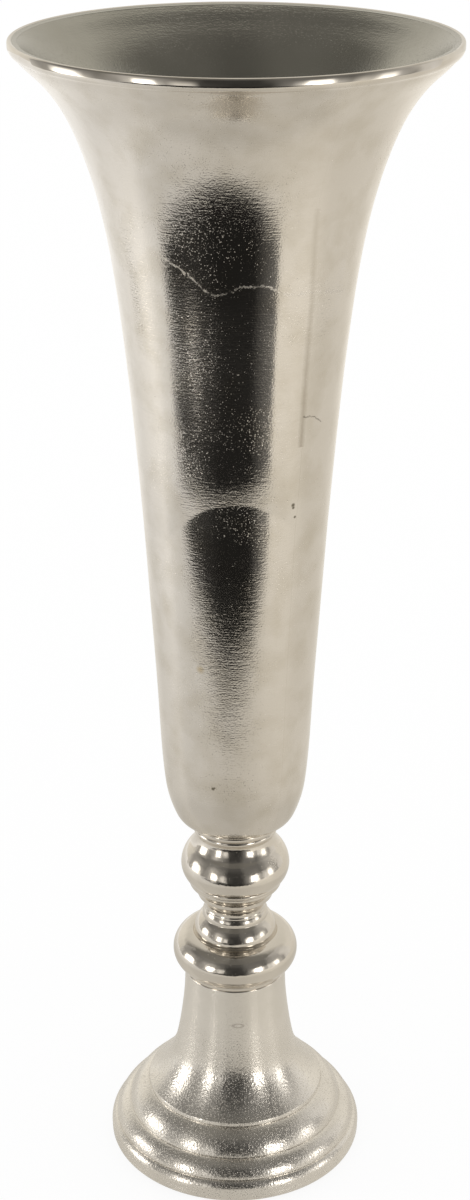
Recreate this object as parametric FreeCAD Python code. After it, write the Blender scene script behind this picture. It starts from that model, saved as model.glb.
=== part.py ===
import FreeCAD, Part
import math
import os

# A trumpet vase: nickel-plated aluminium castings stacked on one threaded rod.
# Millimetres, +Z up, origin on the ground at the middle of the foot.
# Heights in an outline are counted from the underside of its own casting.

# Height of each casting in the stack, from the ground up
foot_height = 134.6
lower_knop_height = 57.6
upper_knop_height = 53.8
neck_ring_height = 5.2
bowl_height = 508.8

# Bowl
rim_radius = 130.9
lip_height = 8.2
lip_width = 6.3
lip_corner = 1.2
bulb_radius = 47.2
bulb_height = 39.8
bowl_seat_radius = 29.6
bowl_wall = 4.5
bowl_floor = 9.0
floor_fillet = 6.0

# Rounded underside, from the seat out to the bulb: shares of the bulb's radius and height
underside_shares = [
    (0.700, 0.012),
    (0.795, 0.096),
    (0.869, 0.259),
    (0.945, 0.548),
    (0.987, 0.880),
]
# Flare: shares of the way from the bulb's radius to the lip's, and of the bowl's height
flare_shares = [
    (0.0335, 0.1745),
    (0.0777, 0.2925),
    (0.1577, 0.4890),
    (0.2724, 0.6855),
    (0.3895, 0.8035),
    (0.5317, 0.8821),
    (0.6416, 0.9214),
    (0.8220, 0.9607),
    (0.9450, 0.9803),
]
# Where the flare meets the lip, and how far the lip's side bows out, as a share of its height
lip_start_share = 0.964
lip_bow_share = 0.13
# A quarter-round corner's bow as a share of its size, and the lip's inner slope in shares
corner_bow_share = 0.25
lip_flat_share = 0.33
lip_slope_share = 0.33
lip_inner_bow_share = 0.07
floor_bow_share = 0.2

# Neck ring: one bead between two small corners
neck_ring_radius = 28.6
neck_bead = 0.9
edge_break = 0.4

# Upper knop: collar, two fine beads, ball, waist, top bead
ball_radius = 36.3
ball_middle = 24.8
ball_low_radius = 33.2
ball_low_height = 15.2
ball_low_bow = 0.75
ball_high_radius = 29.6
ball_high_height = 39.6
ball_high_bow = 1.6
waist_radius = 26.6
waist_height = 48.2
waist_bow = -0.55
collar_seat_radius = 24.4
collar_radius = 25.2
collar_lip = 0.9
cavetto_top_radius = 29.8
cavetto_top_height = 8.9
cavetto_bow = -0.9
fine_bead_radius = 30.9
fine_bead_height = 11.7
fine_bead = 0.5
second_bead_radius = 31.3
second_bead_height = 14.5
top_bead_radius = 27.3
top_bead_height = 3.2
top_bead = 0.7

# Lower knop: tucked foot, torus, domed ring, small ring, scotia
torus_radius = 42.1
torus_section = 14.2
torus_middle = 15.6
torus_low_angle = -56.0
torus_high_angle = 86.0
tuck_radius = 33.9
tuck_height = 2.4
dome_base_radius = 27.7
dome_base_height = 29.3
dome_top_radius = 22.4
dome_top_height = 41.9
dome_bow = 1.7
small_ring_radius = 20.8
small_ring_height = 47.7
small_ring_bow = 0.5
small_ring_step = 0.35
scotia_edge_height = 48.6
scotia_radius = 20.4
scotia_height = 49.4
scotia_bow = -0.6
neck_top_radius = 23.5

# Foot: bell stem and three stepped rolls with grooves between them
foot_top_radius = 34.2
foot_rim_radius = 86.4
foot_rim_height = 7.4
foot_base_radius = 82.0
foot_inner_radius = 69.5
foot_wall = 6.0
foot_web = 16.0
groove_radii = [83.0, 73.6, 60.4]
groove_heights = [16.9, 28.1, 43.8]
groove_depth = 0.8
groove_width = 1.0
roll_bows = [1.7, 2.1]
# Stem: shares of the way from the top radius to the inmost groove's, and of the foot's height
stem_shares = [
    (0.980, 0.346),
    (0.810, 0.378),
    (0.534, 0.446),
    (0.321, 0.520),
    (0.198, 0.609),
    (0.080, 0.758),
    (0.012, 0.899),
]

# Registers: a spigot under each casting sits in a recess in the next one down
spigot_radius = 14.0
spigot_depth = 3.0
spigot_clearance = 0.15
recess_clearance = 0.2

# Tie rod and its fastenings
rod_radius = 4.0
rod_hole_clearance = 0.5
thread_clearance = 0.05
rod_chamfer = 0.8
rod_tail = 3.5
nut_flats = 13.0
nut_height = 6.5
dome_nut_hex_height = 8.0
dome_nut_radius = 6.0
dome_nut_cap = 2.5
dome_nut_engagement = 9.5
lock_washer_radius = 7.2
lock_washer_thickness = 2.0
lock_washer_slot = 1.0
washer_hole_clearance = 0.3
bowl_washer_radius = 14.0
bowl_washer_thickness = 2.0
bowl_seal_radius = 17.0
bowl_seal_thickness = 3.0
clamp_plate_radius = 22.0
clamp_plate_thickness = 3.0
clamp_plate_clearance = 1.5

# Felt pads glued into pockets under the foot
pad_count = 4
pad_radius = 4.5
pad_thickness = 1.5
pad_proud = 0.5
pad_clearance = 0.2

# Places that follow from the sizes above
lower_knop_base = foot_height
upper_knop_base = lower_knop_base + lower_knop_height
neck_ring_base = upper_knop_base + upper_knop_height
bowl_base = neck_ring_base + neck_ring_height
rim_height = bowl_base + bowl_height
bore_radius = rod_radius + rod_hole_clearance
recess_radius = spigot_radius + spigot_clearance
recess_depth = spigot_depth + recess_clearance
web_underside = foot_height - foot_web
floor_level = bowl_base + bowl_floor
seal_top = floor_level + bowl_seal_thickness
washer_top = seal_top + bowl_washer_thickness
plate_underside = web_underside - clamp_plate_thickness
lock_underside = plate_underside - lock_washer_thickness
nut_underside = lock_underside - nut_height
pad_ring_radius = (foot_inner_radius + foot_base_radius) / 2

vertical = FreeCAD.Vector(0, 0, 1)
centre = FreeCAD.Vector(0, 0, 0)
full_turn = 360.0
offset_steps = 24
nut_sides = 6
washer_edge_share = 0.16


def at(radius, height):
    """A point of a turned outline."""
    return FreeCAD.Vector(radius, 0, height)


def straight(start, end):
    return Part.LineSegment(start, end).toShape()


def bowed(start, end, bow):
    """An arc that stands out from its chord by the bow, away from the axis, or towards it if negative."""
    chord = end.sub(start)
    side = FreeCAD.Vector(chord.z, 0, -chord.x)
    side.normalize()
    if side.x < 0:
        side = side.negative()
    middle = start.add(end).multiply(0.5).add(side.multiply(bow))
    return Part.Arc(start, middle, end).toShape()


def through(points):
    """A smooth curve through points."""
    curve = Part.BSplineCurve()
    curve.interpolate(points)
    return curve


def run(corners):
    """Edges through corners (radius, height, bow to the next corner)."""
    edges = []
    for corner, following in zip(corners, corners[1:]):
        start = at(corner[0], corner[1])
        end = at(following[0], following[1])
        if corner[2]:
            edges.append(bowed(start, end, corner[2]))
        else:
            edges.append(straight(start, end))
    return edges


def turned(edges):
    """The solid that a closed outline sweeps in one turn about the axis."""
    wire = Part.Wire(Part.__sortEdges__(edges))
    return Part.Face(wire).revolve(centre, vertical, full_turn)


def inside_of(curve, wall, first, last):
    """Points one wall inside a rising curve, square to it."""
    points = []
    for step in range(offset_steps + 1):
        place = first + (last - first) * step / offset_steps
        along = curve.tangent(place)[0]
        inward = FreeCAD.Vector(-along.z, 0, along.x)
        points.append(curve.value(place).add(inward.multiply(wall)))
    return points


def underside(seat_radius, base):
    """Corners of a casting's underside, from its seat in to the rod's hole."""
    return [
        (seat_radius, base, 0),
        (spigot_radius, base, 0),
        (spigot_radius, base - spigot_depth, 0),
        (bore_radius, base - spigot_depth, 0),
    ]


def topside(seat_radius, top):
    """Corners of a casting's top, from the rod's hole out to its seat."""
    return [
        (bore_radius, top - recess_depth, 0),
        (recess_radius, top - recess_depth, 0),
        (recess_radius, top, 0),
        (seat_radius, top, 0),
    ]


def raised(corners, base):
    """Corners lifted from a casting's own underside to its place in the stack."""
    return [(radius, height + base, bow) for radius, height, bow in corners]


def bowl_curve():
    """The bowl's outside from its seat to the lip."""
    points = []
    for radius_share, height_share in underside_shares:
        points.append(at(bulb_radius * radius_share, bowl_base + bulb_height * height_share))
    reach = rim_radius - bulb_radius
    for radius_share, height_share in flare_shares:
        points.append(at(bulb_radius + reach * radius_share, bowl_base + bowl_height * height_share))
    points.append(at(bulb_radius + reach * lip_start_share, rim_height - lip_height))
    return through(points)


def trumpet_bowl():
    """Thin flared bowl with a thick floor, a spigot below and a rounded lip."""
    outside = bowl_curve()
    start = outside.value(outside.FirstParameter)
    lip_start = outside.value(outside.LastParameter)
    wall_foot = at(bulb_radius, floor_level + floor_fillet)
    inner = inside_of(outside, bowl_wall, outside.parameter(wall_foot), outside.LastParameter)
    wall_start = inner[0]
    wall_end = inner[-1]
    inner_edge = rim_radius - lip_width
    edges = [outside.toShape(), through(inner).toShape()]
    edges += run([(lip_start.x, lip_start.z, lip_height * lip_bow_share),
                  (rim_radius, rim_height - lip_corner, lip_corner * corner_bow_share),
                  (rim_radius - lip_corner, rim_height, 0),
                  (inner_edge + lip_width * lip_flat_share, rim_height, -lip_width * lip_inner_bow_share),
                  (inner_edge, rim_height - lip_height * lip_slope_share, 0),
                  (wall_end.x, wall_end.z, 0)])
    edges += run([(wall_start.x, wall_start.z, floor_fillet * floor_bow_share),
                  (wall_start.x - floor_fillet, floor_level, 0),
                  (bore_radius, floor_level, 0),
                  (bore_radius, bowl_base - spigot_depth, 0)])
    edges += run(underside(bowl_seat_radius, bowl_base))
    edges += run([(bowl_seat_radius, bowl_base, 0), (start.x, start.z, 0)])
    return turned(edges)


def neck_ring():
    """Beaded ring between the bowl and the upper knop."""
    base = neck_ring_base
    top = bowl_base
    seat = neck_ring_radius - edge_break
    edges = run(underside(seat, base)) + run(topside(seat, top))
    edges += run([(seat, base, 0),
                  (neck_ring_radius, base + edge_break, neck_bead),
                  (neck_ring_radius, top - edge_break, 0),
                  (seat, top, 0)])
    edges += run([(bore_radius, base - spigot_depth, 0), (bore_radius, top - recess_depth, 0)])
    return turned(edges)


def upper_knop():
    """Ball knop on a beaded collar, with a bead round its top."""
    base = upper_knop_base
    top = neck_ring_base
    top_seat = top_bead_radius - edge_break
    side = raised([
        (collar_seat_radius, 0, 0),
        (collar_radius, collar_lip, 0),
        (collar_radius, collar_lip + edge_break, cavetto_bow),
        (cavetto_top_radius, cavetto_top_height, fine_bead),
        (fine_bead_radius, fine_bead_height, fine_bead),
        (second_bead_radius, second_bead_height, 0),
        (ball_low_radius, ball_low_height, ball_low_bow),
        (ball_radius, ball_middle, ball_high_bow),
        (ball_high_radius, ball_high_height, waist_bow),
        (waist_radius, waist_height, 0),
        (top_bead_radius, upper_knop_height - edge_break - top_bead_height, top_bead),
        (top_bead_radius, upper_knop_height - edge_break, 0),
        (top_seat, upper_knop_height, 0),
    ], base)
    edges = run(underside(collar_seat_radius, base)) + run(side) + run(topside(top_seat, top))
    edges += run([(bore_radius, base - spigot_depth, 0), (bore_radius, top - recess_depth, 0)])
    return turned(edges)


def torus_point(degrees):
    """A corner on the torus's round section, by the angle above its widest line."""
    middle_radius = torus_radius - torus_section
    angle = math.radians(degrees)
    radius = middle_radius + torus_section * math.cos(angle)
    return (radius, torus_middle + torus_section * math.sin(angle))


def lower_knop():
    """Torus knop under a domed ring, a small ring and a scotia neck."""
    base = lower_knop_base
    top = upper_knop_base
    low = torus_point(torus_low_angle)
    high = torus_point(torus_high_angle)
    seat = tuck_radius - edge_break
    foot_part = raised([
        (seat, 0, 0),
        (tuck_radius, edge_break, 0),
        (tuck_radius, tuck_height, 0),
        (low[0], low[1], 0),
    ], base)
    neck_part = raised([
        (high[0], high[1], 0),
        (dome_base_radius, dome_base_height, dome_bow),
        (dome_top_radius, dome_top_height, 0),
        (dome_top_radius - small_ring_step, dome_top_height + small_ring_step, small_ring_bow),
        (small_ring_radius, small_ring_height, 0),
        (small_ring_radius, scotia_edge_height, 0),
        (scotia_radius, scotia_height, scotia_bow),
        (neck_top_radius, lower_knop_height, 0),
    ], base)
    torus = Part.Arc(at(low[0], base + low[1]), at(torus_radius, base + torus_middle),
                     at(high[0], base + high[1])).toShape()
    edges = run(underside(seat, base)) + run(foot_part) + [torus] + run(neck_part)
    edges += run(topside(neck_top_radius, top))
    edges += run([(bore_radius, base - spigot_depth, 0), (bore_radius, top - recess_depth, 0)])
    return turned(edges)


def stem_curve():
    """The foot's bell stem, from the inmost groove up to the top."""
    reach = groove_radii[-1] - foot_top_radius
    points = []
    for radius_share, height_share in stem_shares:
        points.append(at(foot_top_radius + reach * radius_share, foot_height * height_share))
    points.append(at(foot_top_radius, foot_height - edge_break))
    return through(points)


def foot_casting():
    """Hollow bell with three stepped rolls round its edge and a thick web at its top."""
    stem = stem_curve()
    stem_start = stem.value(stem.FirstParameter)
    web_place = stem.parameter(at(foot_top_radius, web_underside))
    inner = inside_of(stem, foot_wall, stem.FirstParameter, web_place)
    half_groove = groove_width / 2
    outer_roll = Part.Arc(at(foot_base_radius, pad_proud), at(foot_rim_radius, foot_rim_height),
                          at(groove_radii[0] + half_groove, groove_heights[0] - half_groove)).toShape()
    rolls = []
    bows = roll_bows + [0]
    for radius, height, bow in zip(groove_radii, groove_heights, bows):
        rolls.append((radius + half_groove, height - half_groove, 0))
        rolls.append((radius - groove_depth / 2, height - groove_depth / 2, 0))
        rolls.append((radius, height + half_groove, bow))
    rolls.append((stem_start.x, stem_start.z, 0))
    slope = [at(foot_inner_radius, pad_proud)]
    for radius, height in zip(groove_radii[1:], groove_heights[1:]):
        slope.append(at(radius - foot_wall - groove_depth, height - foot_wall + groove_depth))
    edges = [outer_roll, stem.toShape(), through(slope + inner).toShape()]
    edges += run(rolls)
    seat = foot_top_radius - edge_break
    edges += run([(foot_top_radius, foot_height - edge_break, 0), (seat, foot_height, 0)])
    edges += run(topside(seat, foot_height))
    edges += run([(bore_radius, foot_height - recess_depth, 0),
                  (bore_radius, web_underside, 0),
                  (clamp_plate_radius + clamp_plate_clearance, web_underside, 0),
                  (inner[-1].x, inner[-1].z, 0)])
    edges += run([(foot_inner_radius, pad_proud, 0), (foot_base_radius, pad_proud, 0)])
    bell = turned(edges)
    pocket_radius = pad_radius + pad_clearance
    for place in pad_places():
        bell = bell.cut(Part.makeCylinder(pocket_radius, pad_thickness, place))
    return bell


def pad_places():
    """Centres of the pads' lower faces, evenly round the foot and clear of the front."""
    places = []
    for number in range(pad_count):
        angle = math.pi * (2 * number + 1) / pad_count
        places.append(FreeCAD.Vector(pad_ring_radius * math.cos(angle),
                                     pad_ring_radius * math.sin(angle), 0))
    return places


def foot_pads():
    return Part.makeCompound([Part.makeCylinder(pad_radius, pad_thickness, place)
                              for place in pad_places()])


def washer(outer_radius, hole_radius, thickness, level):
    """Flat ring with broken edges, lying on a level."""
    chamfer = thickness * washer_edge_share
    return turned(run([(hole_radius, level, 0),
                       (outer_radius - chamfer, level, 0),
                       (outer_radius, level + chamfer, 0),
                       (outer_radius, level + thickness - chamfer, 0),
                       (outer_radius - chamfer, level + thickness, 0),
                       (hole_radius, level + thickness, 0),
                       (hole_radius, level, 0)]))


def hexagon(flats, height, level):
    """Six-sided prism with its corners chamfered round by a cone at each end."""
    corner = flats / math.sqrt(3)
    points = []
    for number in range(nut_sides + 1):
        angle = math.radians(full_turn * number / nut_sides)
        points.append(FreeCAD.Vector(corner * math.cos(angle), corner * math.sin(angle), level))
    prism = Part.Face(Part.makePolygon(points)).extrude(FreeCAD.Vector(0, 0, height))
    bevel = corner - flats / 2
    rounding = turned(run([(0, level, 0),
                           (flats / 2, level, 0),
                           (corner, level + bevel / 2, 0),
                           (corner, level + height - bevel / 2, 0),
                           (flats / 2, level + height, 0),
                           (0, level + height, 0),
                           (0, level, 0)]))
    return prism.common(rounding)


def tie_rod():
    """Rod from inside the domed nut down to just below the foot's nut."""
    top = washer_top + dome_nut_engagement
    bottom = nut_underside - rod_tail
    return turned(run([(0, bottom, 0),
                       (rod_radius - rod_chamfer, bottom, 0),
                       (rod_radius, bottom + rod_chamfer, 0),
                       (rod_radius, top - rod_chamfer, 0),
                       (rod_radius - rod_chamfer, top, 0),
                       (0, top, 0),
                       (0, bottom, 0)]))


def bowl_nut():
    """Domed nut: a hexagon with a blind threaded hole under a round cap."""
    crown = washer_top + dome_nut_hex_height
    cap_top = washer_top + dome_nut_engagement + rod_radius + dome_nut_cap
    sagitta = cap_top - crown
    ball = (dome_nut_radius ** 2 + sagitta ** 2) / (2 * sagitta)
    angle = math.asin(dome_nut_radius / ball) / 2
    shoulder = at(ball * math.sin(angle), cap_top - ball + ball * math.cos(angle))
    cap = turned([straight(at(0, washer_top), at(dome_nut_radius, washer_top)),
                  straight(at(dome_nut_radius, washer_top), at(dome_nut_radius, crown)),
                  Part.Arc(at(dome_nut_radius, crown), shoulder, at(0, cap_top)).toShape(),
                  straight(at(0, cap_top), at(0, washer_top))])
    hole_radius = rod_radius + thread_clearance
    hole_depth = dome_nut_engagement + rod_radius / 2
    hole = Part.makeCylinder(hole_radius, hole_depth, FreeCAD.Vector(0, 0, washer_top))
    return hexagon(nut_flats, dome_nut_hex_height, washer_top).fuse(cap).cut(hole).removeSplitter()


def foot_nut():
    hole = Part.makeCylinder(rod_radius + thread_clearance, nut_height,
                             FreeCAD.Vector(0, 0, nut_underside))
    return hexagon(nut_flats, nut_height, nut_underside).cut(hole)


def lock_washer():
    """Split spring washer under the clamp plate."""
    hole_radius = rod_radius + washer_hole_clearance
    ring = washer(lock_washer_radius, hole_radius, lock_washer_thickness, lock_underside)
    corner = FreeCAD.Vector(0, -lock_washer_slot / 2, lock_underside)
    slot = Part.makeBox(lock_washer_radius, lock_washer_slot, lock_washer_thickness, corner)
    return ring.cut(slot)


washer_hole = rod_radius + washer_hole_clearance
nodes = {
    "trumpet_bowl": trumpet_bowl(),
    "neck_ring": neck_ring(),
    "upper_knop": upper_knop(),
    "lower_knop": lower_knop(),
    "foot": foot_casting(),
    "tie_rod": tie_rod(),
    "bowl_seal": washer(bowl_seal_radius, washer_hole, bowl_seal_thickness, floor_level),
    "bowl_washer": washer(bowl_washer_radius, washer_hole, bowl_washer_thickness, seal_top),
    "bowl_nut": bowl_nut(),
    "clamp_plate": washer(clamp_plate_radius, washer_hole, clamp_plate_thickness, plate_underside),
    "lock_washer": lock_washer(),
    "foot_nut": foot_nut(),
    "foot_pads": foot_pads(),
}

os.makedirs("parts", exist_ok=True)
for name, shape in nodes.items():
    shape.exportStep("parts/" + name + ".step")
    print(name, len(shape.Solids), "valid" if shape.isValid() else "NOT VALID",
          round(shape.Volume / 1000, 2), "cm3")
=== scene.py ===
import math

import bpy
import numpy as np
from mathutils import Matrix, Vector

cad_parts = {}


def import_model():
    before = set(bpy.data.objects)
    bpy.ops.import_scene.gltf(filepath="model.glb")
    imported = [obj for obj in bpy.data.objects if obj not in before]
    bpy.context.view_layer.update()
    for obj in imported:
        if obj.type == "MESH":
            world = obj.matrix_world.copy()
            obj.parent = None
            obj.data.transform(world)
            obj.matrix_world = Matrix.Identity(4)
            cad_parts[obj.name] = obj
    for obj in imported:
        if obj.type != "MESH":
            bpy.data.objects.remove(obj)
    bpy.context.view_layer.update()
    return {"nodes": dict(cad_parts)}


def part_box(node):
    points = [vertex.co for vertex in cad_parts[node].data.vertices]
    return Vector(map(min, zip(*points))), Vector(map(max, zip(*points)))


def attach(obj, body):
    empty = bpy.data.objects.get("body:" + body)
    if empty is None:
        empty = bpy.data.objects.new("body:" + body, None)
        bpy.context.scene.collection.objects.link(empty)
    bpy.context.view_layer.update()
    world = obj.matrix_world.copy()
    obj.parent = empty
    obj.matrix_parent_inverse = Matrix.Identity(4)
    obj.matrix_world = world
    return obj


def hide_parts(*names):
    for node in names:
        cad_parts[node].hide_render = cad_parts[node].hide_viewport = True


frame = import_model()

MM = 0.001
TURN = 2 * math.pi

# Heights where the castings meet, and the rim's, from the frame
LOWER_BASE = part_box("foot")[1].z
UPPER_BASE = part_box("lower_knop")[1].z
RING_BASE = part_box("upper_knop")[1].z
BOWL_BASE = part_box("neck_ring")[1].z
RIM_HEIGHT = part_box("trumpet_bowl")[1].z

# Turned surfaces: steps round the axis, the longest step along an outline, steps of an arc and of a spline's
# span, and how far an edge is rounded
STEPS_ROUND = 192
OUTLINE_STEP = 1.1 * MM
ARC_STEPS, SPAN_STEPS = 10, 14
EDGE_ROUNDING = 0.25 * MM
# An outline bends by 20 degrees or more at an edge, and the rounding takes under half of each side
EDGE_COSINE, SIDE_PARTS = -0.94, 2.2
# A casting's slow waves: how many round the axis, radians a metre of height, and the phase
WAVES = [(2, 40, 0), (3, -67, 1), (5, 23, 2)]


def colour(hex_code):
    """An sRGB hex value as linear red, green, blue and alpha."""
    parts = [int(hex_code[i:i + 2], 16) / 255 for i in (1, 3, 5)]
    linear = [p / 12.92 if p <= 0.04045 else ((p + 0.055) / 1.055) ** 2.4 for p in parts]
    return (*linear, 1.0)


def add(tree, kind, inputs=(), **settings):
    """Adds one shader node with its settings, and sets or links its inputs.

    The inputs are in the order of the node's sockets, or in a dictionary by their names or numbers. A node
    given as an input stands for the first of its outputs that is in use.
    """
    made = tree.nodes.new("ShaderNode" + kind)
    for name, value in settings.items():
        setattr(made, name, value)
    for name, value in inputs.items() if isinstance(inputs, dict) else enumerate(inputs):
        if isinstance(value, bpy.types.Node):
            value = next(socket for socket in value.outputs if socket.enabled)
        if isinstance(value, bpy.types.NodeSocket):
            tree.links.new(value, made.inputs[name])
        else:
            made.inputs[name].default_value = value
    return made


def blank(name):
    """A new material and its empty node tree."""
    material = bpy.data.materials.new(name)
    material.use_nodes = True
    material.node_tree.nodes.clear()
    return material, material.node_tree


def arc(start, end, bow):
    """Points of an arc from start to end that stands bow away from its chord, outwards if positive.

    Its radius is (half chord squared + bow squared) / (2 bow), and its points are evenly spaced by angle.
    """
    start, end = np.array(start, float), np.array(end, float)
    if not bow:
        return np.array([start, end])
    chord = end - start
    half = np.hypot(*chord) / 2
    side = np.array([chord[1], -chord[0]]) / (2 * half)
    if side[0] < 0:
        side = -side
    radius = (half ** 2 + bow ** 2) / (2 * abs(bow))
    reach = math.asin(min(1.0, half / radius))
    angles = np.linspace(-reach, reach, ARC_STEPS + 1)
    along = radius * np.sin(angles) / half / 2
    out = (radius * np.cos(angles) - radius + abs(bow)) * np.sign(bow)
    return (start + end) / 2 + along[:, None] * chord + out[:, None] * side


def path(corners):
    """An outline through corners (radius, height, bow to the next corner)."""
    pieces = [arc(a[:2], b[:2], a[2])[:-1] for a, b in zip(corners, corners[1:])]
    return np.concatenate(pieces + [np.array([corners[-1][:2]])])


def spline(points, steps=SPAN_STEPS):
    """A natural cubic spline through points, by their chord lengths.

    Its second derivatives solve the usual three-term equations, and are zero at both ends.
    """
    knots = np.array(points, float)
    chords = np.hypot(*np.diff(knots, axis=0).T)
    count = len(knots)
    terms = np.eye(count)
    bends = np.zeros((count, 2))
    for i in range(1, count - 1):
        last, following = chords[i - 1], chords[i]
        terms[i, i - 1:i + 2] = last, 2 * (last + following), following
        bends[i] = 6 * ((knots[i + 1] - knots[i]) / following - (knots[i] - knots[i - 1]) / last)
    second = np.linalg.solve(terms, bends)
    t = np.linspace(0, 1, steps, endpoint=False)[:, None]
    spans = []
    for i, chord in enumerate(chords):
        straight = knots[i] * (1 - t) + knots[i + 1] * t
        curved = ((1 - t) ** 3 - (1 - t)) * second[i] + (t ** 3 - t) * second[i + 1]
        spans.append(straight + curved * chord ** 2 / 6)
    return np.concatenate(spans + [knots[-1:]])


def moved_in(outline, wall):
    """The outline moved square to itself, to its left, by the wall."""
    slope = np.gradient(outline, axis=0)
    inward = np.stack([-slope[:, 1], slope[:, 0]], 1) / np.hypot(*slope.T)[:, None]
    return outline + inward * wall


def eased(outline, rounding=EDGE_ROUNDING):
    """The outline with each sharp corner cut back by the rounding and bridged by a quadratic curve."""
    kept = [outline[0]]
    for before, corner, after in zip(outline, outline[1:], outline[2:]):
        back, ahead = before - corner, after - corner
        back_length, ahead_length = np.hypot(*back), np.hypot(*ahead)
        if np.dot(back, ahead) / (back_length * ahead_length) < EDGE_COSINE:
            kept.append(corner)
            continue
        start = corner + back / back_length * min(rounding, back_length / SIDE_PARTS)
        end = corner + ahead / ahead_length * min(rounding, ahead_length / SIDE_PARTS)
        for t in (0.0, 0.25, 0.5, 0.75, 1.0):
            kept.append(start * (1 - t) ** 2 + corner * 2 * t * (1 - t) + end * t ** 2)
    return np.array(kept + [outline[-1]])


def filled(outline, step=OUTLINE_STEP):
    """The outline with long stretches divided, so that no step is over the given length."""
    points = [outline[:1]]
    for a, b in zip(outline, outline[1:]):
        pieces = max(1, math.ceil(np.hypot(*(b - a)) / step))
        t = np.arange(1, pieces + 1)[:, None] / pieces
        points.append(a + (b - a) * t)
    return np.concatenate(points)


def spaced(outline, steps):
    """The same outline with its points as far apart as steps says: one length, or one for each point."""
    lengths = np.hypot(*np.diff(outline, axis=0).T)
    counts = np.concatenate([[0], np.cumsum(lengths / np.broadcast_to(steps, len(outline))[1:])])
    places = np.linspace(0, counts[-1], math.ceil(counts[-1]) + 1)
    return np.stack([np.interp(places, counts, values) for values in outline.T], 1)


def turned(name, outline, uneven=0.0, steps=STEPS_ROUND):
    """A closed surface of revolution: x = r sin a, y = -r cos a, z = h.

    It has a row for each outline point (r, h) and a column for each angle a, and it wraps both ways, since
    the outline closes on itself. A hand-finished casting isn't quite true, so the radius also falls short,
    by up to the uneven share, as the sum of the slow waves says.
    """
    a = np.arange(steps) * TURN / steps
    r = np.repeat(outline[:, 0][:, None], steps, 1)
    z = np.repeat(outline[:, 1][:, None], steps, 1)
    angle = np.repeat(a[None, :], len(outline), 0)
    wave = sum(np.sin(around * angle + up * z + phase) for around, up, phase in WAVES)
    r = r * (1 - uneven * (1 - wave / len(WAVES)) / 2)
    points = np.stack([r * np.sin(angle), -r * np.cos(angle), z], -1).reshape(-1, 3)
    row, col = np.meshgrid(np.arange(len(outline)), np.arange(steps), indexing="ij")
    up, along = (row + 1) % len(outline), (col + 1) % steps
    quads = np.stack([row * steps + col, row * steps + along, up * steps + along, up * steps + col], -1)
    return surface(name, points, quads.reshape(-1, 4))


def surface(name, points, quads):
    """A smooth-shaded mesh object from arrays of points and four-cornered faces."""
    mesh = bpy.data.meshes.new(name)
    mesh.vertices.add(len(points))
    mesh.vertices.foreach_set("co", points.astype(np.float32).ravel())
    mesh.loops.add(quads.size)
    mesh.loops.foreach_set("vertex_index", quads.astype(np.int32).ravel())
    mesh.polygons.add(len(quads))
    mesh.polygons.foreach_set("loop_start", np.arange(0, quads.size, 4, dtype=np.int32))
    mesh.polygons.foreach_set("use_smooth", np.ones(len(quads), bool))
    mesh.update()
    mesh.validate()
    piece = bpy.data.objects.new(name, mesh)
    bpy.context.scene.collection.objects.link(piece)
    return piece


# Outlines (radius, height) in millimetres over each casting's own underside: from the rod's hole out
# under it, up its outside and back to the hole

SPIGOT_RADIUS, SPIGOT_DEPTH, HOLE_RADIUS = 14.0, 3.0, 4.5
RECESS_RADIUS, RECESS_DEPTH = 14.15, 3.2


def underside(seat):
    """Corners from the rod's hole out to the seat under a casting."""
    return [(HOLE_RADIUS, -SPIGOT_DEPTH, 0), (SPIGOT_RADIUS, -SPIGOT_DEPTH, 0), (SPIGOT_RADIUS, 0, 0),
            (seat, 0, 0)]


def topside(seat, height):
    """Corners from the seat on top of a casting in to the rod's hole."""
    return [(seat, height, 0), (RECESS_RADIUS, height, 0), (RECESS_RADIUS, height - RECESS_DEPTH, 0),
            (HOLE_RADIUS, height - RECESS_DEPTH, 0)]


def placed(outline, base, step=OUTLINE_STEP):
    """An outline turned from millimetres to metres and lifted to its base, with eased corners."""
    return filled(eased(outline * MM + np.array([0, base])), step)


# How far apart the bowl's rows are: outside by height, closest at the filed edge, and inside; millimetres
BOWL_STEPS = [(0, 1.4), (50, 1.7), (70, 3.2), (200, 3.2), (206, 0.85), (250, 0.85), (256, 2.8), (420, 2.6),
              (470, 1.8)]
BOWL_STEP_INSIDE = 4.0


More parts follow.
